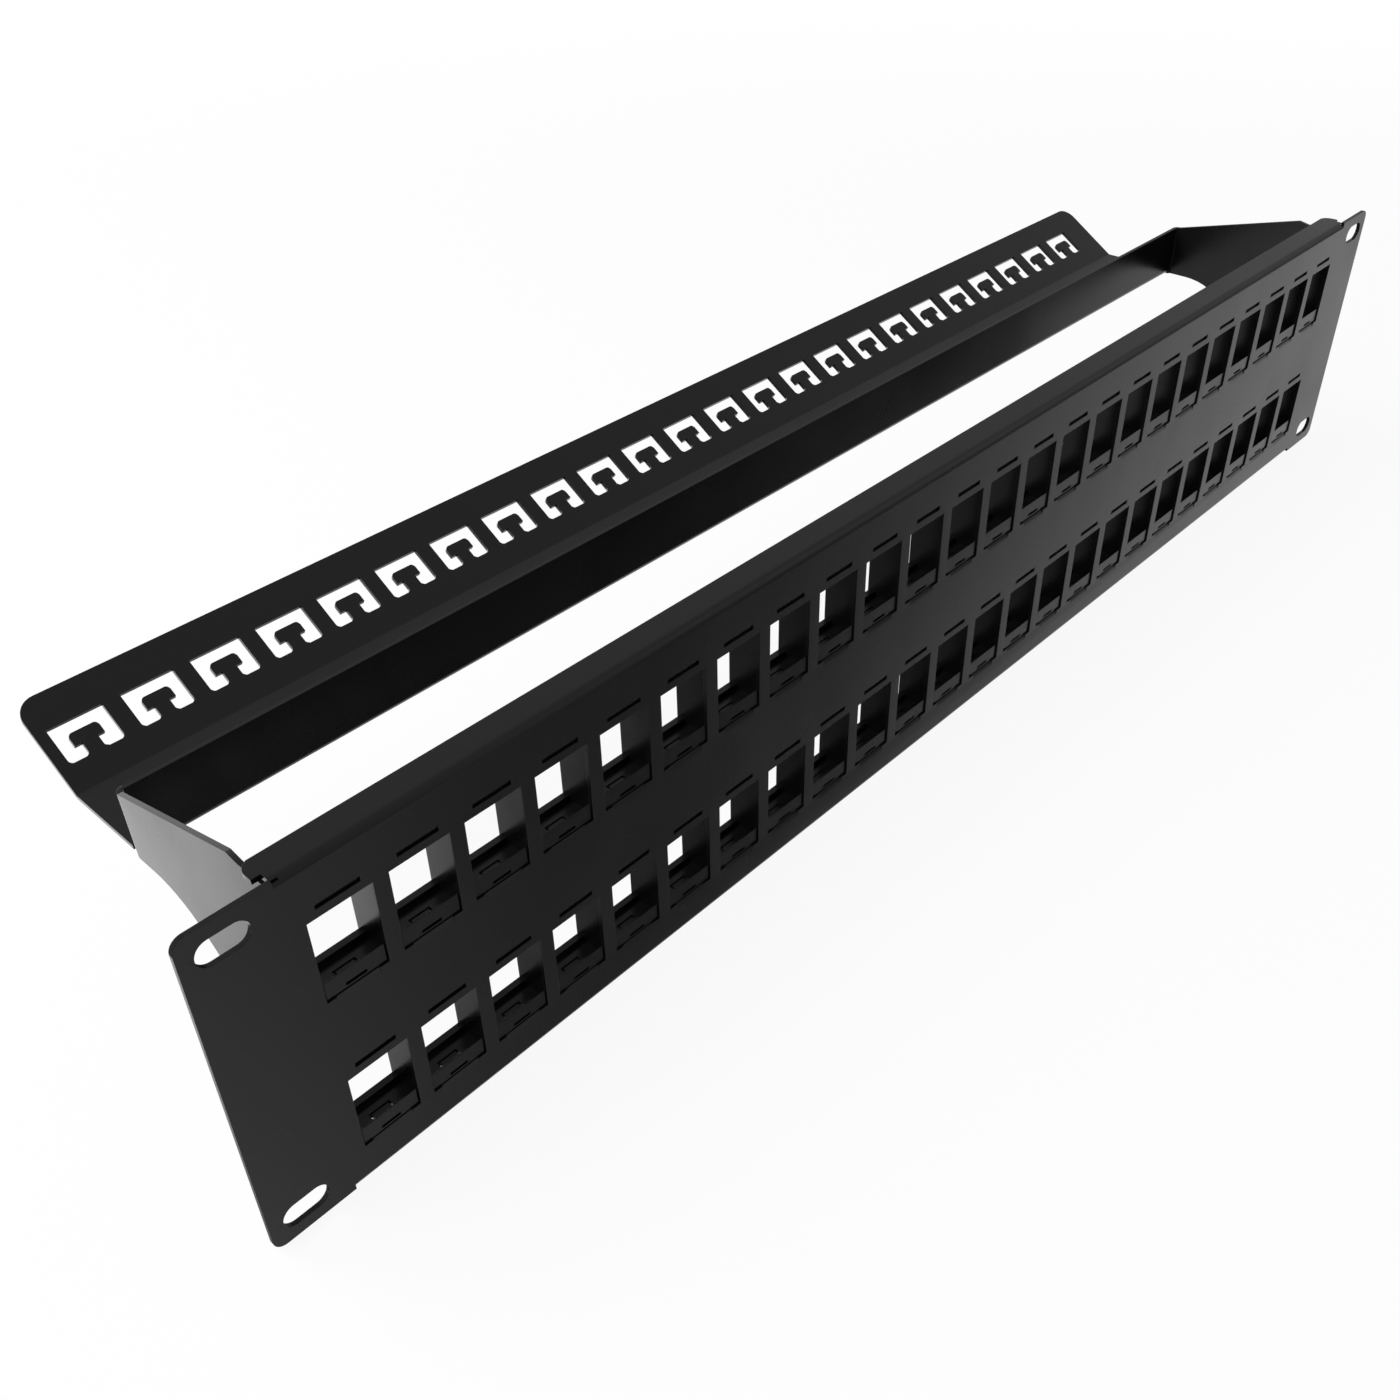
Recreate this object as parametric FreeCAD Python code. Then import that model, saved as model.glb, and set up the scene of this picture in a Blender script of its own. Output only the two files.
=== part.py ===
"""Keystone patch panel for a 19-inch rack, two units high, with a cable bracket behind it.

Millimetres. X runs along the panel, Y from the front to the back and Z up. The origin is the centre of the
four rack slots, in the rear face of the ears, where the panel lies against the rack rails.
"""
import FreeCAD, Part
import math
import os

Vector = FreeCAD.Vector

# Steel sheet
SHEET = 1.2
FOLD_INSIDE = 0.8

# Panel outline and folded flanges
PANEL_WIDTH = 482.6
PANEL_HEIGHT = 88.9
EAR_WIDTH = 19.8
EAR_CORNER = 3.0
FLANGE_DEPTH = 8.4
FLANGE_OVERHANG = 2.0
FLANGE_CORNER = 3.0
FOLD_RELIEF = 2.2
TEAR_SLIT_LENGTH = 1.65
TEAR_SLIT_HEIGHT = 0.45
TEAR_SLIT_DROP = 0.3
TEAR_SLIT_DEPTH = 1.7

# Rack slots
SLOT_FROM_END = 8.75
SLOT_FROM_EDGE = 6.35
SLOT_LENGTH = 11.0
SLOT_HEIGHT = 6.0

# Ports in the panel
ROW_PITCH = 44.05
WINDOW_WIDTH = 14.56
WINDOW_HEIGHT = 21.2
BRIDGE_HEIGHT = 2.05
HOOK_SLIT_LENGTH = 10.0
HOOK_SLIT_HEIGHT = 1.25
LEAD_IN_LENGTH = 10.0
LEAD_IN_HEIGHT = 1.5
LEAD_IN_DEPTH = 0.35

# Moulded keystone frames
FRAME_WALL = 1.6
FRAME_GAP = 0.5
FRAME_DEPTH = 7.9
SIDE_DEPTH = 8.5
OPENING_HEIGHT = 16.45
TUNNEL_HEIGHT = 19.75
LIP_GAP = 0.33
LIP_SET_BACK = 0.45
LIP_TIP = 0.3
LIP_BACK = 1.0
CATCH_HEIGHT = 1.5
CATCH_THICKNESS = 1.7
HOOK_CLEARANCE = 0.12
HOOK_SET_BACK = 0.6
RIM_THICKNESS = 1.4
RIM_MARGIN = 0.9
TONGUE_WIDTH = 4.4
TONGUE_END = 3.65
TONGUE_SLIT = 0.45
TONGUE_ROOT = 0.7
LIP_SLIT_LENGTH = 4.9
LIP_SLIT_HEIGHT = 0.8
LIP_SLIT_DROP = 3.2

# Cable bracket: web, shelf and tie flange
BRACKET_REACH = 60.9
WEB_TOP = 30.15
SHELF_LEVEL = 13.75
SHELF_DEPTH = 25.46
TIE_LENGTH = 25.9
TIE_SLOPE = 32.0
TIE_INSET = 0.6
TIE_CORNER = 5.0
CORNER_RELIEF = 0.6

# Cable bracket: arms
ARM_CREST = 14.4
ARM_CREST_DROP = 2.3
ARM_NOTCH = 10.8
ARM_NOTCH_DROP = 3.0
ARM_KNEE = 43.0
ARM_KNEE_RADIUS = 23.7
ARM_LOWER_SLOPE = 45.0

# Cable-tie cut-outs in the tie flange
TIE_PITCH = 17.95
TIE_FIRST = 9.6
TIE_MARGIN = 8.0
CUT_WIDTH = 13.5
CUT_HEIGHT = 9.8
CUT_START = 7.1
CUT_SLOT = 3.1
HEAD_HEIGHT = 3.3
NECK_WIDTH = 3.8
CUT_CLIP = 0.7

# Worked out from the sizes above
FRONT = -SHEET
FOLD_OUTSIDE = FOLD_INSIDE + SHEET
HALF_WIDTH = PANEL_WIDTH / 2
HALF_HEIGHT = PANEL_HEIGHT / 2
FOLD_HALF = HALF_WIDTH - EAR_WIDTH
FLANGE_BACK = FRONT + FLANGE_DEPTH
SLOT_X = HALF_WIDTH - SLOT_FROM_END
SLOT_Z = HALF_HEIGHT - SLOT_FROM_EDGE
TUNNEL_HALF = WINDOW_WIDTH / 2
FRAME_HALF = TUNNEL_HALF + FRAME_WALL
PORT_PITCH = 2 * FRAME_HALF + FRAME_GAP
PORT_COLUMNS = int(2 * FOLD_HALF / PORT_PITCH)
ARM_OUTER = FOLD_HALF
PORT_GROUP_HEIGHT = WINDOW_HEIGHT + BRIDGE_HEIGHT + HOOK_SLIT_HEIGHT
WINDOW_TOP_IN_GROUP = PORT_GROUP_HEIGHT / 2 - HOOK_SLIT_HEIGHT - BRIDGE_HEIGHT
SHELF_UNDERSIDE = SHELF_LEVEL - SHEET
SAME_POINT = 1e-6
NEARLY = 0.01


def block(x_range, y_range, z_range):
    """A rectangular solid between the given pairs of limits."""
    lows, highs = zip(x_range, y_range, z_range)
    size = Vector(*highs) - Vector(*lows)
    return Part.makeBox(size.x, size.y, size.z, Vector(*lows))


def mirrored_block(half_x, y_range, z_range):
    """A rectangular solid centred on X = 0."""
    return block((-half_x, half_x), y_range, z_range)


def side_view(points):
    """Points given as (Y, Z) pairs, placed in the plane X = 0."""
    return [Vector(0, y, z) for y, z in points]


def mirrored_section(outline, half_x):
    """A solid with the same outline of (Y, Z) pairs all along it, centred on X = 0."""
    points = side_view(outline)
    section = Part.Face(Part.makePolygon(points + points[:1]))
    section.translate(Vector(-half_x, 0, 0))
    return section.extrude(Vector(2 * half_x, 0, 0))


def corner_arc(before, corner, after, radius):
    """The start, middle and end of the arc that rounds a corner. With no radius all three are the corner."""
    back = (before - corner).normalize()
    ahead = (after - corner).normalize()
    half_angle = back.getAngle(ahead) / 2
    reach = radius / math.tan(half_angle)
    inwards = (back + ahead).normalize() * (radius / math.sin(half_angle) - radius)
    return corner + back * reach, corner + inwards, corner + ahead * reach


def joined_arcs(arcs):
    """Edges along the arcs and the straight lines between them, up to the start of the last arc."""
    edges = []
    for (start, middle, end), (next_start, _, _) in zip(arcs, arcs[1:]):
        if (end - start).Length > SAME_POINT:
            edges.append(Part.Arc(start, middle, end).toShape())
        if (next_start - end).Length > SAME_POINT:
            edges.append(Part.LineSegment(end, next_start).toShape())
    return edges


def rounded_run(points, radius):
    """Edges along a run of points, with every point but the first and last rounded."""
    arcs = [corner_arc(*three, radius) for three in zip(points, points[1:], points[2:])]
    return joined_arcs([points[:1] * 3] + arcs + [points[-1:] * 3])


def rounded_loop(points, radii):
    """A closed wire through the points, each rounded by its own radius."""
    after = points[1:] + points[:1]
    before = points[-1:] + points[:-1]
    arcs = [corner_arc(*corner) for corner in zip(before, points, after, radii)]
    return Part.Wire(joined_arcs(arcs + arcs[:1]))


def clipped_outline(points, clips):
    """The points of a closed outline, with each corner cut off straight by its own clip along both sides."""
    clipped = []
    for before, corner, after, clip in zip(points[-1:] + points[:-1], points, points[1:] + points[:1], clips):
        if clip == 0:
            clipped.append(corner)
            continue
        clipped.append(corner + (before - corner).normalize() * clip)
        clipped.append(corner + (after - corner).normalize() * clip)
    return clipped


def offset_run(points, distance):
    """The run of points moved sideways in the plane X = 0, to the left of the way it goes."""
    normals = []
    for start, end in zip(points, points[1:]):
        along = (end - start).normalize()
        normals.append(Vector(0, -along.z, along.y))
    moved = [points[0] + normals[0] * distance]
    for corner, first, second in zip(points[1:], normals, normals[1:]):
        bisector = (first + second).normalize()
        moved.append(corner + bisector * (distance / bisector.dot(first)))
    moved.append(points[-1] + normals[-1] * distance)
    return moved


def folded_strip(points, distance, near_radius, far_radius, half_length):
    """A sheet folded along the run of points, which lies on one face, and centred on X = 0."""
    far_points = offset_run(points, distance)
    near = rounded_run(points, near_radius)
    far = rounded_run(far_points, far_radius)
    near_end = Part.LineSegment(points[-1], far_points[-1]).toShape()
    far_end = Part.LineSegment(far_points[0], points[0]).toShape()
    outline = Part.Wire(Part.__sortEdges__(near + [near_end] + far + [far_end]))
    section = Part.Face(outline)
    section.translate(Vector(-half_length, 0, 0))
    return section.extrude(Vector(2 * half_length, 0, 0))


def obround(length, height):
    """A slot with round ends along X, centred on the origin and cut through the sheet."""
    half_run = (length - height) / 2
    radius = height / 2
    upper = [Vector(-half_run, FRONT, radius), Vector(half_run, FRONT, radius)]
    lower = [Vector(half_run, FRONT, -radius), Vector(-half_run, FRONT, -radius)]
    right = Part.Arc(upper[1], Vector(half_run + radius, FRONT, 0), lower[0]).toShape()
    left = Part.Arc(lower[1], Vector(-half_run - radius, FRONT, 0), upper[0]).toShape()
    top = Part.LineSegment(*upper).toShape()
    bottom = Part.LineSegment(*lower).toShape()
    return Part.Face(Part.Wire([top, right, bottom, left])).extrude(Vector(0, SHEET, 0))


def tear_slits():
    """The short slits at the ends of both folds, sawn into the fold from the front."""
    slit_top = HALF_HEIGHT - TEAR_SLIT_DROP
    slit = block((FOLD_HALF - TEAR_SLIT_LENGTH, FOLD_HALF), (FRONT, FRONT + TEAR_SLIT_DEPTH),
                 (slit_top - TEAR_SLIT_HEIGHT, slit_top))
    upper = [slit, slit.mirror(Vector(0, 0, 0), Vector(1, 0, 0))]
    lower = [each.mirror(Vector(0, 0, 0), Vector(0, 0, 1)) for each in upper]
    return upper + lower


def port_places():
    """The (row name, column number, window top centre) of every port."""
    places = []
    for row_name, row_centre in (("upper", ROW_PITCH / 2), ("lower", -ROW_PITCH / 2)):
        for column in range(PORT_COLUMNS):
            x = (column - (PORT_COLUMNS - 1) / 2) * PORT_PITCH
            places.append((row_name, column + 1, Vector(x, 0, row_centre + WINDOW_TOP_IN_GROUP)))
    return places


def port_cut():
    """What one port takes out of the sheet, with the window's top edge at Z = 0."""
    through = (FRONT, 0)
    window = mirrored_block(WINDOW_WIDTH / 2, through, (-WINDOW_HEIGHT, 0))
    slit_base = BRIDGE_HEIGHT
    slit = mirrored_block(HOOK_SLIT_LENGTH / 2, through, (slit_base, slit_base + HOOK_SLIT_HEIGHT))
    sill = -WINDOW_HEIGHT
    slope = [(FRONT, sill), (FRONT + LEAD_IN_DEPTH, sill), (FRONT, sill - LEAD_IN_HEIGHT)]
    return window.fuse(mirrored_section(slope, LEAD_IN_LENGTH / 2)), slit


def flat_sheet(half_length, depth_range, axis, corner, rounded_at):
    """A flat piece of sheet centred on X = 0, with its corners at the given depth limits rounded."""
    low, high = depth_range
    outline = [(-half_length, low), (half_length, low), (half_length, high), (-half_length, high)]
    radii = [corner if depth in rounded_at else 0 for _, depth in outline]
    if axis == "Y":
        points = [Vector(x, FRONT, depth) for x, depth in outline]
        return Part.Face(rounded_loop(points, radii)).extrude(Vector(0, SHEET, 0))
    points = [Vector(x, depth, 0) for x, depth in outline]
    return Part.Face(rounded_loop(points, radii)).extrude(Vector(0, 0, SHEET))


def front_panel():
    """The steel front: ears, a channel with folded flanges, the rack slots and the port windows."""
    plate = flat_sheet(HALF_WIDTH, (-HALF_HEIGHT, HALF_HEIGHT), "Y", EAR_CORNER, (-HALF_HEIGHT, HALF_HEIGHT))
    ears = plate.cut(mirrored_block(FOLD_HALF, (FRONT, 0), (-HALF_HEIGHT, HALF_HEIGHT)))
    outer_face = side_view([(FLANGE_BACK, HALF_HEIGHT), (FRONT, HALF_HEIGHT),
                            (FRONT, -HALF_HEIGHT), (FLANGE_BACK, -HALF_HEIGHT)])
    channel = folded_strip(outer_face, SHEET, FOLD_OUTSIDE, FOLD_INSIDE, FOLD_HALF)
    overhang_range = (FOLD_RELIEF, FLANGE_BACK)
    overhang = flat_sheet(FOLD_HALF + FLANGE_OVERHANG, overhang_range, "Z", FLANGE_CORNER, (FLANGE_BACK,))
    top = overhang.translated(Vector(0, 0, HALF_HEIGHT - SHEET))
    bottom = overhang.translated(Vector(0, 0, -HALF_HEIGHT))
    panel = channel.fuse([ears, top, bottom]).removeSplitter()

    cuts = tear_slits()
    slot = obround(SLOT_LENGTH, SLOT_HEIGHT)
    for x in (-SLOT_X, SLOT_X):
        for z in (-SLOT_Z, SLOT_Z):
            cuts.append(slot.translated(Vector(x, 0, z)))
    window, slit = port_cut()
    for _, _, place in port_places():
        cuts.append(window.translated(place))
        cuts.append(slit.translated(place))
    return panel.cut(Part.makeCompound(cuts))


def keystone_frame():
    """One moulded frame, with the window's top edge at Z = 0 and its front seated on the sheet's back."""
    roof = FRAME_WALL
    floor = -TUNNEL_HEIGHT
    base = floor - FRAME_WALL
    lip_top = -OPENING_HEIGHT
    lip_bottom = -WINDOW_HEIGHT + LIP_GAP
    lip_front = FRONT + LIP_SET_BACK
    tip_back = lip_front + LIP_TIP
    ramp_fall = (lip_top - floor) / (LIP_BACK - tip_back)
    ramp_at_seat = floor + LIP_BACK * ramp_fall
    catch_front = FRAME_DEPTH - CATCH_THICKNESS
    catch_top = floor + CATCH_HEIGHT

    floor_outline = [(0, ramp_at_seat), (LIP_BACK, floor), (catch_front, floor), (catch_front, catch_top),
                     (FRAME_DEPTH, catch_top), (FRAME_DEPTH, base), (0, base)]
    floor_solid = mirrored_section(floor_outline, TUNNEL_HALF)
    depth = (0, SIDE_DEPTH)
    left_wall = block((-FRAME_HALF, -TUNNEL_HALF), depth, (base, roof))
    right_wall = block((TUNNEL_HALF, FRAME_HALF), depth, (base, roof))
    top_wall = mirrored_block(TUNNEL_HALF, depth, (0, roof))
    lip_outline = [(lip_front, lip_bottom), (lip_front, lip_top), (tip_back, lip_top), (0, ramp_at_seat),
                   (0, lip_bottom)]
    lip = mirrored_section(lip_outline, TUNNEL_HALF - LIP_GAP)

    slit_low = BRIDGE_HEIGHT
    slit_high = BRIDGE_HEIGHT + HOOK_SLIT_HEIGHT
    rim_depth = (0, RIM_THICKNESS)
    upper_rim = mirrored_block(FRAME_HALF, rim_depth, (roof, slit_high + RIM_MARGIN))
    lower_rim = mirrored_block(FRAME_HALF, rim_depth, (-WINDOW_HEIGHT - LEAD_IN_HEIGHT - RIM_MARGIN, base))
    hook = mirrored_block(HOOK_SLIT_LENGTH / 2 - HOOK_CLEARANCE, (FRONT + HOOK_SET_BACK, 0),
                          (slit_low + HOOK_CLEARANCE, slit_high - HOOK_CLEARANCE))
    frame = floor_solid.fuse([left_wall, right_wall, top_wall, lip, upper_rim, lower_rim, hook])

    tongue_half = TONGUE_WIDTH / 2
    slit_half = tongue_half + TONGUE_SLIT
    tongue_level = (base, floor)
    tongue_gap = mirrored_block(slit_half, (LIP_BACK + TONGUE_ROOT, TONGUE_END), tongue_level)
    tongue = mirrored_block(tongue_half, (LIP_BACK + TONGUE_ROOT, TONGUE_END - TONGUE_SLIT), tongue_level)
    slit_top = lip_top - LIP_SLIT_DROP
    lip_slit = mirrored_block(LIP_SLIT_LENGTH / 2, (lip_front, LIP_BACK),
                              (slit_top - LIP_SLIT_HEIGHT, slit_top))
    return frame.removeSplitter().cut(tongue_gap.cut(tongue)).cut(lip_slit)


def tie_cut(x, place):
    """One C-shaped cut-out round a T-headed tongue, centred at X and placed on the tie flange."""
    half = CUT_WIDTH / 2
    head_half = half - CUT_SLOT
    neck_half = NECK_WIDTH / 2
    top = CUT_START + CUT_HEIGHT
    head_top = top - CUT_SLOT
    head_base = head_top - HEAD_HEIGHT
    right_side = [(half, top), (half, CUT_START), (neck_half, CUT_START), (neck_half, head_base),
                  (head_half, head_base), (head_half, head_top)]
    left_side = [(-u, v) for u, v in reversed(right_side)]
    points = [Vector(x + u, v, 0) for u, v in right_side + left_side]
    side_clips = [0, CUT_CLIP, CUT_CLIP, 0, 0, CUT_CLIP]
    outline = clipped_outline(points, side_clips + side_clips[::-1])
    cut = Part.Face(Part.makePolygon(outline + outline[:1])).extrude(Vector(0, 0, -SHEET))
    cut.Placement = place
    return cut


def arm_outline():
    """The outline of an arm, as a wire in the plane X = 0, from its seat on the panel to the fold."""
    fold_start = BRACKET_REACH - FOLD_OUTSIDE
    knee_drop = ARM_KNEE * math.tan(math.radians(ARM_LOWER_SLOPE))
    points = side_view([(0, HALF_HEIGHT - ARM_NOTCH_DROP), (ARM_NOTCH, HALF_HEIGHT - ARM_NOTCH_DROP),
                        (ARM_CREST, HALF_HEIGHT - ARM_CREST_DROP), (fold_start, WEB_TOP),
                        (fold_start, SHELF_UNDERSIDE), (ARM_KNEE, SHELF_UNDERSIDE),
                        (0, SHELF_UNDERSIDE - knee_drop)])
    return rounded_loop(points, [0, 0, 0, 0, 0, ARM_KNEE_RADIUS, 0])


def right_arm():
    """The right arm with the vertical fold that joins it to the web."""
    inner_face = ARM_OUTER - SHEET
    plate = Part.Face(arm_outline()).extrude(Vector(SHEET, 0, 0)).translated(Vector(inner_face, 0, 0))
    height = WEB_TOP - SHELF_UNDERSIDE
    axis = Vector(ARM_OUTER - FOLD_OUTSIDE, BRACKET_REACH - FOLD_OUTSIDE, SHELF_UNDERSIDE)
    outer = Part.makeCylinder(FOLD_OUTSIDE, height, axis, Vector(0, 0, 1), 90)
    inner = Part.makeCylinder(FOLD_INSIDE, height, axis, Vector(0, 0, 1), 90)
    return plate.fuse(outer.cut(inner))


def cable_bracket():
    """The folded steel bracket behind the ports, with its tie flange and two arms."""
    slope = math.radians(TIE_SLOPE)
    fold = (BRACKET_REACH + SHELF_DEPTH, SHELF_LEVEL)
    tie_end = (fold[0] + TIE_LENGTH * math.cos(slope), fold[1] + TIE_LENGTH * math.sin(slope))
    upper_face = side_view([(BRACKET_REACH, WEB_TOP), (BRACKET_REACH, SHELF_LEVEL), fold, tie_end])
    tie_half = ARM_OUTER - TIE_INSET
    strip = folded_strip(upper_face, -SHEET, FOLD_INSIDE, FOLD_OUTSIDE, tie_half)

    corner_edges = []
    for edge in strip.Edges:
        middle = edge.CenterOfMass
        across_sheet = edge.Length < SHEET + NEARLY
        at_far_corner = abs(middle.x) > tie_half - NEARLY and middle.y > tie_end[0] - SHEET
        if across_sheet and at_far_corner:
            corner_edges.append(edge)
    strip = strip.makeFillet(TIE_CORNER, corner_edges)

    web_half = ARM_OUTER - FOLD_OUTSIDE
    relief_depth = (BRACKET_REACH - SHEET, BRACKET_REACH + FOLD_INSIDE + CORNER_RELIEF)
    relief_height = (SHELF_UNDERSIDE, WEB_TOP)
    reliefs = [block((web_half, tie_half), relief_depth, relief_height),
               block((-tie_half, -web_half), relief_depth, relief_height)]
    place = FreeCAD.Placement(Vector(0, *fold), FreeCAD.Rotation(Vector(1, 0, 0), TIE_SLOPE))
    first_cut = TIE_FIRST - tie_half
    last_place = tie_half - TIE_MARGIN - CUT_WIDTH / 2
    tie_count = int((last_place - first_cut) / TIE_PITCH) + 1
    ties = [tie_cut(first_cut + number * TIE_PITCH, place) for number in range(tie_count)]
    strip = strip.cut(Part.makeCompound(reliefs)).cut(Part.makeCompound(ties))
    right = right_arm()
    left = right.mirror(Vector(0, 0, 0), Vector(1, 0, 0))
    return strip.fuse([right, left]).removeSplitter()


def main():
    os.makedirs("parts", exist_ok=True)
    nodes = {"front_panel": front_panel(), "cable_bracket": cable_bracket()}
    frame = keystone_frame()
    for row_name, column, place in port_places():
        nodes[f"keystone_frame_{row_name}_{column:02d}"] = frame.translated(place)
    for name, shape in nodes.items():
        shape.Solids[0].exportStep(f"parts/{name}.step")


main()
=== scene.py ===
"""Keystone patch panel: the looks of the part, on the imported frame. Metres."""
import math

import bmesh
import bpy
from mathutils import Matrix, Vector


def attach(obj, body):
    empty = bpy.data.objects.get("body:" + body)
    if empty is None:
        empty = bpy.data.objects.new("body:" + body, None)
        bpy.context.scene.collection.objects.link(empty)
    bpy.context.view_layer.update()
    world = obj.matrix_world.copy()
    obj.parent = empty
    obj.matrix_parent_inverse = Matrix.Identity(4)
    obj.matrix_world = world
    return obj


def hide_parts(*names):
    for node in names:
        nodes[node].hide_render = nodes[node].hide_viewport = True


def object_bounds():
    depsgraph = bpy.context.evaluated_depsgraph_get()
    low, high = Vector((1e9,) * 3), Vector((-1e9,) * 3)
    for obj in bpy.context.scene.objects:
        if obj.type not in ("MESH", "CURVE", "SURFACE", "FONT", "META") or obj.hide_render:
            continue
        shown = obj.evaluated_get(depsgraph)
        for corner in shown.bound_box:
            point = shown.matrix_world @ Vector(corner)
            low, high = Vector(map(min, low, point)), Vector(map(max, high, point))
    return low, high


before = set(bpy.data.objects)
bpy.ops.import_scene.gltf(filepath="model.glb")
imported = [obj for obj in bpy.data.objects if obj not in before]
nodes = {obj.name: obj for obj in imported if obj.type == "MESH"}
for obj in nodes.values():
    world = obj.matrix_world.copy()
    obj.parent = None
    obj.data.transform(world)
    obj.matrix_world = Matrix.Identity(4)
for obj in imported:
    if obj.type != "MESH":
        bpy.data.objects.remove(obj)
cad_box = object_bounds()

# Rounding of the edges and of the clipped corners
SHEET = 0.0012
SHEET_SLACK = SHEET / 20
STEEL_EDGE = 0.00005
PLASTIC_EDGE = 0.00004
EDGE_SEGMENTS = 2
CUT_CORNER = 0.00034
CORNER_SEGMENTS = 3
ROUND_PROFILE = 0.5
SHARP_ANGLE = math.radians(35)
CLIP_ANGLE = math.radians(60)
MERGE = 1e-7
LARGE_FACE_WEIGHT = 100

# Edges that stay sharp: in the seam behind the sheet, and at the fold ends, this far from the middle
SEAM = 1e-5
PANEL_FOLD_ENDS = (0.2198, 0.2216)
BRACKET_FOLD_ENDS = (0.2194, 0.2196)
NO_FOLD_ENDS = (1.0, 1.0)

# Rows of port frames
PORT_COLUMNS = 24
PORT_PITCH = 0.01826

# Coats: the values of the powder coat's sockets, and the strength and depth of the pebbled skin
STEEL_COAT = {"Colour": (0.0068, 0.0068, 0.007, 1), "Grain Scale": 2600.0, "Grain Colour": 0.12,
              "Cloud Scale": 26.0, "Roughness Low": 0.24, "Roughness High": 0.30}
STEEL_SKIN = 0.25
PLASTIC_COAT = {"Colour": (0.0042, 0.0042, 0.0044, 1), "Grain Scale": 5200.0, "Grain Colour": 0.08,
                "Cloud Scale": 60.0, "Roughness Low": 0.22, "Roughness High": 0.28}
PLASTIC_SKIN = 0.15
SKIN_DEPTH = 0.00002

# Noises of the coats: how fine each goes, and the stretch of its values that counts
GRAIN_DETAIL = 2.0
GRAIN_SPREAD = (0.35, 0.65)
CLOUD_DETAIL = 3.0
CLOUD_SPREAD = (0.3, 0.7)

# Camera
IMAGE_SIDE = 1400
FOCAL_PIXELS = 1413.85
SENSOR = 36.0
CLIP_START = 0.01
CAMERA_PLACE = Vector((-0.29763, -0.17707, 0.21445))
CAMERA_AIM = Vector((-0.06659, 0.04386, -0.02598))
CAMERA_ROLL = math.radians(-1.403)

# Soft patches of the surroundings: azimuth, elevation, cosines at rim and core, strength
PATCHES = [(85.0, -20.0, 0.745, 0.9, 1.66), (160.0, -15.0, 0.955, 0.995, 0.58),
           (-32.0, 25.0, 0.9, 0.99, 0.18), (8.0, 18.0, 0.93, 0.99, 0.12)]

# Upright bands of light below the horizon: azimuth, cosines at rim and core, strength
LOW_BANDS = [(0.0, 0.808, 1.0, 1.0), (-110.0, 0.5, 0.95, 0.6)]
HORIZON_FADE = (-0.14, -0.28)

# Plain light of the surroundings: the heights between which it changes, and its strength at both
DOME_FADE = (-0.4, 0.2, 0.09, 0.27)

# The soft lamp
LAMP_PLACE = Vector((-0.8, 0.6, 1.1))
LAMP_AIM = Vector((0.0, 0.05, 0.0))
LAMP_SIDE = 1.2
LAMP_POWER = 26.0

# The floor: its half side, the gap under the part and its matt grey
FLOOR_HALF = 6.0
FLOOR_GAP = 0.0002
FLOOR_MATT = (0.82, 0.82, 0.82, 1)
WHITE = (1, 1, 1, 1)

# White share of the floor by the object, and the distances between which it becomes whole
FLOOR_WHITE = 0.92
FLOOR_FADE = (0.35, 1.1)


def socket(group, name, kind, out=False):
    """A named socket on a node group."""
    group.interface.new_socket(name, in_out="OUTPUT" if out else "INPUT", socket_type=kind)


def add(tree, kind, x, y, **values):
    """A node of the given kind, placed and set."""
    node = tree.nodes.new(kind)
    node.location = (x, y)
    for key, value in values.items():
        setattr(node, key, value)
    return node


def set_inputs(node, values):
    """Sets inputs of a node by name."""
    for name, value in values.items():
        node.inputs[name].default_value = value


def placed(name, data):
    """An object of the data, put in the scene."""
    thing = bpy.data.objects.new(name, data)
    bpy.context.scene.collection.objects.link(thing)
    return thing


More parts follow.
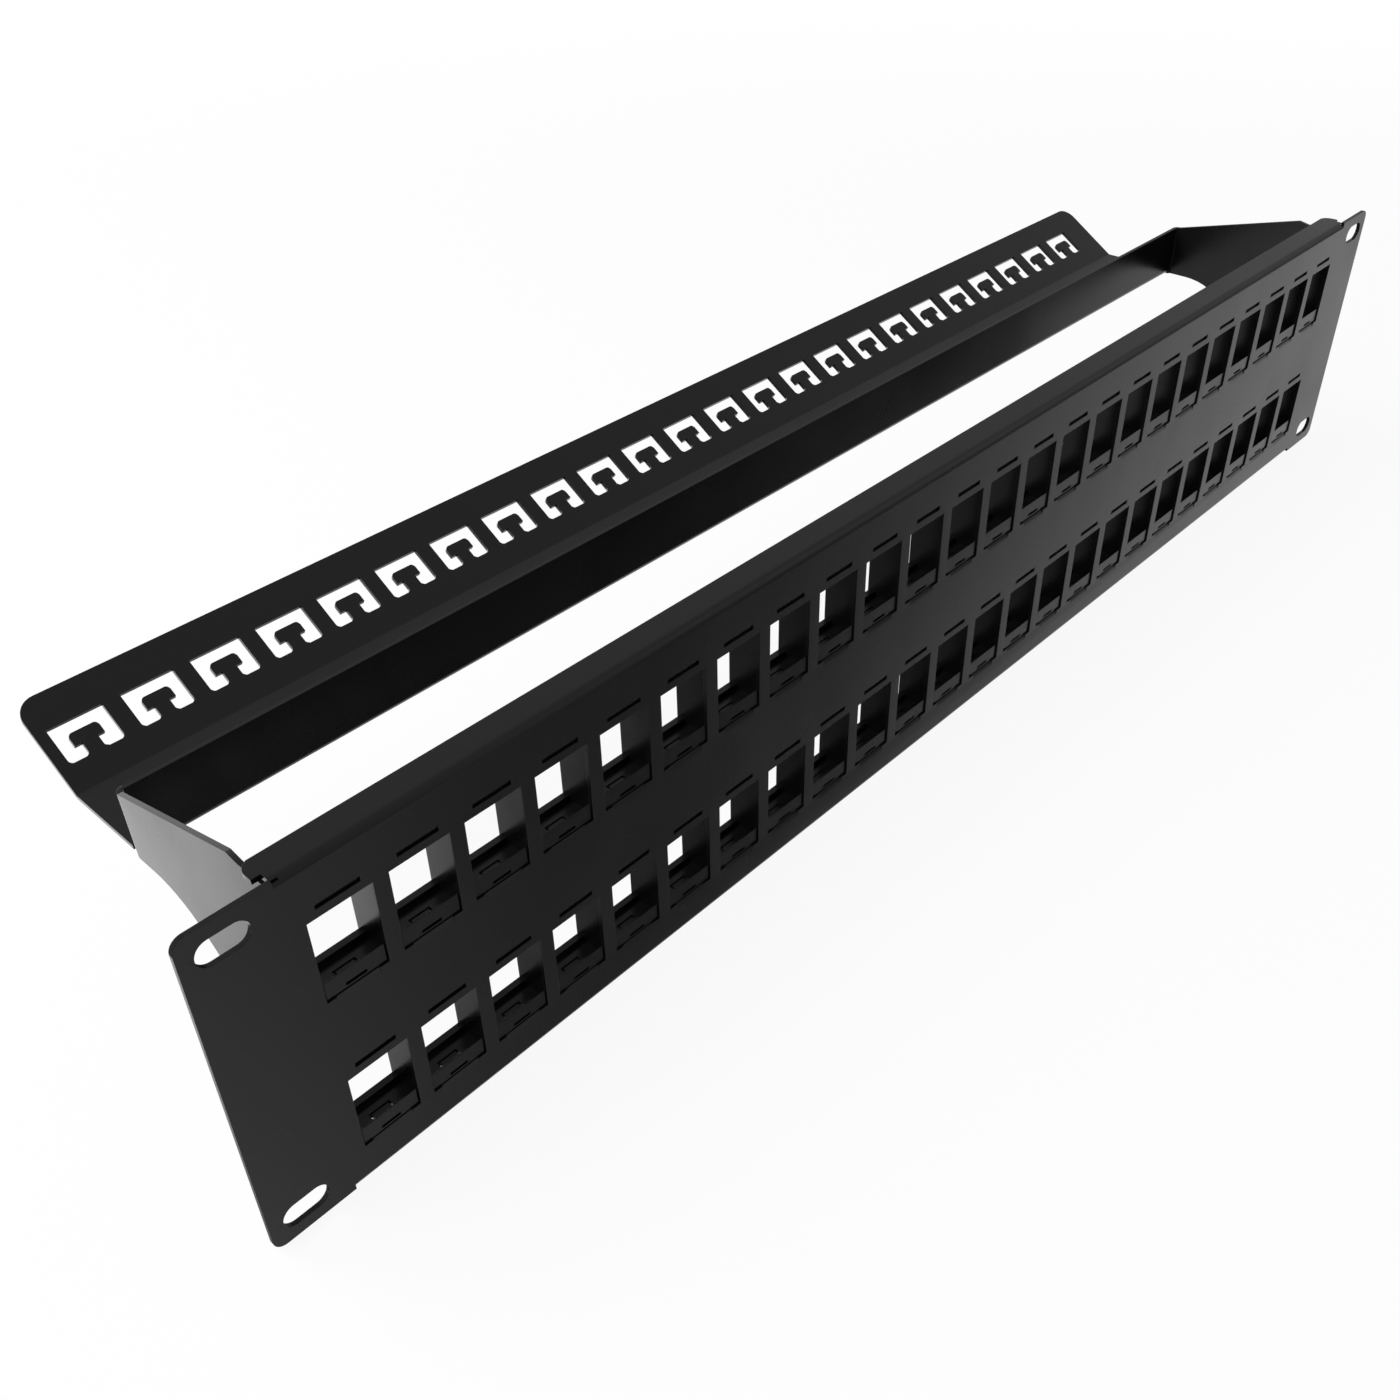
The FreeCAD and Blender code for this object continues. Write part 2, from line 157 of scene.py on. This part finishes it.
def coat_group():
    """Powder coat: a fine pebbled skin, a faint lift in colour with it, and soft cloudiness in the gloss."""
    group = bpy.data.node_groups.new("powder_coat", "ShaderNodeTree")
    socket(group, "Colour", "NodeSocketColor")
    for name in ("Grain Scale", "Grain Colour", "Cloud Scale", "Roughness Low", "Roughness High"):
        socket(group, name, "NodeSocketFloat")
    socket(group, "Base Color", "NodeSocketColor", out=True)
    socket(group, "Roughness", "NodeSocketFloat", out=True)
    socket(group, "Height", "NodeSocketFloat", out=True)
    source = add(group, "NodeGroupInput", -900, 0)
    result = add(group, "NodeGroupOutput", 500, 0)
    place = add(group, "ShaderNodeTexCoord", -900, -300)
    grain = add(group, "ShaderNodeTexNoise", -600, 100)
    set_inputs(grain, {"Detail": GRAIN_DETAIL})
    cloud = add(group, "ShaderNodeTexNoise", -600, -200)
    set_inputs(cloud, {"Detail": CLOUD_DETAIL})
    lowest = add(group, "ShaderNodeMath", -300, 480, operation="SUBTRACT")
    lowest.inputs[0].default_value = 1.0
    highest = add(group, "ShaderNodeMath", -300, 380, operation="ADD")
    highest.inputs[0].default_value = 1.0
    tint = add(group, "ShaderNodeMapRange", -300, 250)
    set_inputs(tint, {"From Min": GRAIN_SPREAD[0], "From Max": GRAIN_SPREAD[1]})
    shade = add(group, "ShaderNodeVectorMath", 100, 250, operation="SCALE")
    gloss = add(group, "ShaderNodeMapRange", 100, -100)
    set_inputs(gloss, {"From Min": CLOUD_SPREAD[0], "From Max": CLOUD_SPREAD[1]})
    link = group.links.new
    link(place.outputs["Object"], grain.inputs["Vector"])
    link(place.outputs["Object"], cloud.inputs["Vector"])
    link(source.outputs["Grain Scale"], grain.inputs["Scale"])
    link(source.outputs["Cloud Scale"], cloud.inputs["Scale"])
    link(source.outputs["Grain Colour"], lowest.inputs[1])
    link(source.outputs["Grain Colour"], highest.inputs[1])
    link(grain.outputs["Fac"], tint.inputs["Value"])
    link(lowest.outputs["Value"], tint.inputs["To Min"])
    link(highest.outputs["Value"], tint.inputs["To Max"])
    link(source.outputs["Colour"], shade.inputs[0])
    link(tint.outputs["Result"], shade.inputs["Scale"])
    link(cloud.outputs["Fac"], gloss.inputs["Value"])
    link(source.outputs["Roughness Low"], gloss.inputs["To Min"])
    link(source.outputs["Roughness High"], gloss.inputs["To Max"])
    link(shade.outputs["Vector"], result.inputs["Base Color"])
    link(gloss.outputs["Result"], result.inputs["Roughness"])
    link(grain.outputs["Fac"], result.inputs["Height"])
    return group


def coated(name, group, values, skin_strength):
    """A material of one coat, with the group's sockets set by name."""
    material = bpy.data.materials.new(name)
    material.use_nodes = True
    tree = material.node_tree
    shader = tree.nodes["Principled BSDF"]
    coat = add(tree, "ShaderNodeGroup", -500, 0, node_tree=group)
    set_inputs(coat, values)
    skin = add(tree, "ShaderNodeBump", -250, -250)
    set_inputs(skin, {"Strength": skin_strength, "Distance": SKIN_DEPTH})
    link = tree.links.new
    link(coat.outputs["Base Color"], shader.inputs["Base Color"])
    link(coat.outputs["Roughness"], shader.inputs["Roughness"])
    link(coat.outputs["Height"], skin.inputs["Height"])
    link(skin.outputs["Normal"], shader.inputs["Normal"])
    return material


def merged(node):
    """The mesh of a node with its loose triangles joined."""
    shape = bmesh.new()
    shape.from_mesh(node.data)
    bmesh.ops.remove_doubles(shape, verts=shape.verts, dist=MERGE)
    return shape


def bevelled(shape, edges, width, segments):
    """Rounds the given edges of the shape."""
    bmesh.ops.bevel(shape, geom=edges, offset=width, offset_type="OFFSET", segments=segments,
                    profile=ROUND_PROFILE, affect="EDGES", clamp_overlap=False, material=-1)


def across_sheet(edge):
    """Whether the edge runs through the sheet's thickness at a clipped corner."""
    angle = edge.calc_face_angle(0)
    return abs(edge.calc_length() - SHEET) < SHEET_SLACK and SHARP_ANGLE < angle < CLIP_ANGLE


def stays_sharp(edge, fold_ends):
    """Whether the edge lies in the seam behind the sheet, or across the end of a fold."""
    low, high = fold_ends
    in_seam = all(abs(vert.co.y) < SEAM for vert in edge.verts)
    return in_seam or all(low < abs(vert.co.x) < high for vert in edge.verts)


def rounded(shape, width, fold_ends):
    """Rounds the sharp edges, and marks those that stay as they are."""
    corners = [edge for edge in shape.edges if edge.calc_face_angle(0) > SHARP_ANGLE]
    bevelled(shape, [edge for edge in corners if not stays_sharp(edge, fold_ends)], width, EDGE_SEGMENTS)
    for edge in shape.edges:
        edge.smooth = edge.calc_face_angle(0) < SHARP_ANGLE or not stays_sharp(edge, fold_ends)


def plain(piece):
    """Turns what the piece's modifiers make into its own mesh."""
    bpy.context.view_layer.update()
    evaluated = piece.evaluated_get(bpy.context.evaluated_depsgraph_get())
    mesh = bpy.data.meshes.new_from_object(evaluated)
    piece.modifiers.clear()
    piece.data = mesh


def made(name, shape, coat):
    """A piece of the shape, shaded smooth across its rounded edges."""
    for face in shape.faces:
        face.smooth = True
    mesh = bpy.data.meshes.new(name)
    shape.to_mesh(mesh)
    shape.free()
    mesh.materials.append(coat)
    piece = placed(name, mesh)
    weighted = piece.modifiers.new("weighted_normals", "WEIGHTED_NORMAL")
    weighted.weight = LARGE_FACE_WEIGHT
    weighted.keep_sharp = True
    plain(piece)
    return piece


def take_over(piece, replaced):
    """Puts the piece in the place of the nodes that it shows."""
    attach(piece, "root")
    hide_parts(*replaced)


def sheet_piece(node_name, piece_name, fold_ends, coat):
    """A folded sheet, with its clipped corners and then its edges rounded."""
    shape = merged(nodes[node_name])
    bevelled(shape, [edge for edge in shape.edges if across_sheet(edge)], CUT_CORNER, CORNER_SEGMENTS)
    rounded(shape, STEEL_EDGE, fold_ends)
    take_over(made(piece_name, shape, coat), [node_name])


def row_tree():
    """Geometry nodes that repeat one port frame along X."""
    tree = bpy.data.node_groups.new("port_row", "GeometryNodeTree")
    socket(tree, "Geometry", "NodeSocketGeometry")
    socket(tree, "Columns", "NodeSocketInt")
    socket(tree, "Pitch", "NodeSocketFloat")
    socket(tree, "Material", "NodeSocketMaterial")
    socket(tree, "Geometry", "NodeSocketGeometry", out=True)
    source = add(tree, "NodeGroupInput", -600, 0)
    step = add(tree, "ShaderNodeCombineXYZ", -400, -150)
    line = add(tree, "GeometryNodeMeshLine", -200, -100, mode="OFFSET")
    copies = add(tree, "GeometryNodeInstanceOnPoints", 0, 0)
    real = add(tree, "GeometryNodeRealizeInstances", 200, 0)
    paint = add(tree, "GeometryNodeSetMaterial", 400, 0)
    result = add(tree, "NodeGroupOutput", 600, 0)
    link = tree.links.new
    link(source.outputs["Pitch"], step.inputs["X"])
    link(source.outputs["Columns"], line.inputs["Count"])
    link(step.outputs["Vector"], line.inputs["Offset"])
    link(line.outputs["Mesh"], copies.inputs["Points"])
    link(source.outputs["Geometry"], copies.inputs["Instance"])
    link(copies.outputs["Instances"], real.inputs["Geometry"])
    link(real.outputs["Geometry"], paint.inputs["Geometry"])
    link(source.outputs["Material"], paint.inputs["Material"])
    link(paint.outputs["Geometry"], result.inputs["Geometry"])
    return tree


def frame_row(row_name, tree, coat):
    """One row of port frames, repeated from the first frame of the row."""
    names = [f"keystone_frame_{row_name}_{column:02d}" for column in range(1, PORT_COLUMNS + 1)]
    shape = merged(nodes[names[0]])
    rounded(shape, PLASTIC_EDGE, NO_FOLD_ENDS)
    piece = made(f"keystone_frames_{row_name}", shape, coat)
    row = piece.modifiers.new("port_row", "NODES")
    row.node_group = tree
    values = {"Columns": PORT_COLUMNS, "Pitch": PORT_PITCH, "Material": coat}
    for item in tree.interface.items_tree:
        if item.in_out == "INPUT" and item.name in values:
            row[item.identifier] = values[item.name]
    plain(piece)
    take_over(piece, names)


def faded(tree, value, start, end, low, high):
    """A smooth step of the value, from low at start to high at end."""
    fade = add(tree, "ShaderNodeMapRange", -500, 0, interpolation_type="SMOOTHSTEP")
    set_inputs(fade, {"From Min": start, "From Max": end, "To Min": low, "To Max": high})
    tree.links.new(value, fade.inputs["Value"])
    return fade.outputs["Result"]


def combined(tree, operation, first, second):
    """Two values added or multiplied."""
    node = add(tree, "ShaderNodeMath", -200, 0, operation=operation)
    tree.links.new(first, node.inputs[0])
    tree.links.new(second, node.inputs[1])
    return node.outputs["Value"]


def floor_material():
    """White to the camera, with a faint shadow by the object, and plain matt to everything else."""
    material = bpy.data.materials.new("pale_floor")
    material.use_nodes = True
    tree = material.node_tree
    tree.nodes.clear()
    out = add(tree, "ShaderNodeOutputMaterial", 600, 0)
    matt = add(tree, "ShaderNodeBsdfDiffuse", 0, 100)
    set_inputs(matt, {"Color": FLOOR_MATT})
    white = add(tree, "ShaderNodeEmission", 0, -100)
    set_inputs(white, {"Color": WHITE})
    path = add(tree, "ShaderNodeLightPath", -700, 400)
    place = add(tree, "ShaderNodeTexCoord", -900, 200)
    away = add(tree, "ShaderNodeVectorMath", -700, 200, operation="LENGTH")
    mix = add(tree, "ShaderNodeMixShader", 300, 0)
    link = tree.links.new
    link(place.outputs["Object"], away.inputs[0])
    whiteness = faded(tree, away.outputs["Value"], *FLOOR_FADE, FLOOR_WHITE, 1.0)
    link(combined(tree, "MULTIPLY", path.outputs["Is Camera Ray"], whiteness), mix.inputs["Fac"])
    link(matt.outputs["BSDF"], mix.inputs[1])
    link(white.outputs["Emission"], mix.inputs[2])
    link(mix.outputs["Shader"], out.inputs["Surface"])
    return material


def floor():
    """A pale floor just under the part, left out of what glossy coats mirror."""
    half = FLOOR_HALF
    level = cad_box[0][2] - FLOOR_GAP
    mesh = bpy.data.meshes.new("floor")
    corners = [(-half, -half, level), (half, -half, level), (half, half, level), (-half, half, level)]
    mesh.from_pydata(corners, [], [(0, 1, 2, 3)])
    mesh.materials.append(floor_material())
    ground = placed("floor", mesh)
    ground.visible_glossy = False


def soft_patch(tree, view, azimuth, elevation, rim, core, strength):
    """A soft patch of light in the surroundings. Rim and core are cosines of the angle from its middle."""
    turn = math.radians(azimuth)
    lift = math.radians(elevation)
    level = math.cos(lift)
    near = add(tree, "ShaderNodeVectorMath", -700, 0, operation="DOT_PRODUCT")
    near.inputs[1].default_value = (level * math.cos(turn), level * math.sin(turn), math.sin(lift))
    tree.links.new(view, near.inputs[0])
    return faded(tree, near.outputs["Value"], rim, core, 0.0, strength)


def light_by_direction(tree):
    """The strength of the surroundings' light: the plain dome, the soft patches and the low bands."""
    place = add(tree, "ShaderNodeTexCoord", -1100, 0)
    view = place.outputs["Generated"]
    parts = add(tree, "ShaderNodeSeparateXYZ", -900, 200)
    flat = add(tree, "ShaderNodeVectorMath", -900, -200, operation="MULTIPLY")
    flat.inputs[1].default_value = (1, 1, 0)
    level = add(tree, "ShaderNodeVectorMath", -800, -200, operation="NORMALIZE")
    tree.links.new(view, parts.inputs["Vector"])
    tree.links.new(view, flat.inputs[0])
    tree.links.new(flat.outputs["Vector"], level.inputs[0])
    total = faded(tree, parts.outputs["Z"], *DOME_FADE)
    below = faded(tree, parts.outputs["Z"], *HORIZON_FADE, 0.0, 1.0)
    for patch in PATCHES:
        total = combined(tree, "ADD", total, soft_patch(tree, view, *patch))
    for azimuth, *band in LOW_BANDS:
        light = soft_patch(tree, level.outputs["Vector"], azimuth, 0.0, *band)
        total = combined(tree, "ADD", total, combined(tree, "MULTIPLY", below, light))
    return total


def studio():
    """The surroundings: white to the camera, and soft light by direction to the part."""
    world = bpy.data.worlds.new("studio")
    bpy.context.scene.world = world
    world.use_nodes = True
    tree = world.node_tree
    tree.nodes.clear()
    out = add(tree, "ShaderNodeOutputWorld", 400, 0)
    soft = add(tree, "ShaderNodeBackground", 0, 100)
    set_inputs(soft, {"Color": WHITE})
    white = add(tree, "ShaderNodeBackground", 0, -100)
    set_inputs(white, {"Color": WHITE})
    path = add(tree, "ShaderNodeLightPath", -200, 300)
    mix = add(tree, "ShaderNodeMixShader", 200, 0)
    link = tree.links.new
    link(light_by_direction(tree), soft.inputs["Strength"])
    link(path.outputs["Is Camera Ray"], mix.inputs["Fac"])
    link(soft.outputs["Background"], mix.inputs[1])
    link(white.outputs["Background"], mix.inputs[2])
    link(mix.outputs["Shader"], out.inputs["Surface"])


def soft_lamp():
    """A large soft lamp at the left and behind, which no camera or glossy coat sees."""
    light = bpy.data.lights.new("left_back_box", "AREA")
    light.shape = "SQUARE"
    light.size = LAMP_SIDE
    light.energy = LAMP_POWER
    lamp = placed("left_back_box", light)
    lamp.location = LAMP_PLACE
    lamp.rotation_euler = (LAMP_AIM - LAMP_PLACE).to_track_quat("-Z", "Y").to_euler()
    lamp.visible_camera = False
    lamp.visible_glossy = False


def camera():
    """The photo's view."""
    lens = bpy.data.cameras.new("camera")
    lens.sensor_fit = "HORIZONTAL"
    lens.sensor_width = SENSOR
    lens.lens = FOCAL_PIXELS / IMAGE_SIDE * SENSOR
    lens.clip_start = CLIP_START
    eye = placed("camera", lens)
    aimed = (CAMERA_AIM - CAMERA_PLACE).to_track_quat("-Z", "Y").to_matrix().to_4x4()
    eye.matrix_world = Matrix.Translation(CAMERA_PLACE) @ aimed @ Matrix.Rotation(CAMERA_ROLL, 4, "Z")
    bpy.context.scene.camera = eye


powder_coat = coat_group()
steel = coated("satin_black_steel", powder_coat, STEEL_COAT, STEEL_SKIN)
plastic = coated("satin_black_plastic", powder_coat, PLASTIC_COAT, PLASTIC_SKIN)

sheet_piece("front_panel", "panel_sheet", PANEL_FOLD_ENDS, steel)
sheet_piece("cable_bracket", "bracket_sheet", BRACKET_FOLD_ENDS, steel)
port_row = row_tree()
frame_row("upper", port_row, plastic)
frame_row("lower", port_row, plastic)

floor()
studio()
soft_lamp()
camera()
bpy.context.scene.view_settings.view_transform = "Standard"
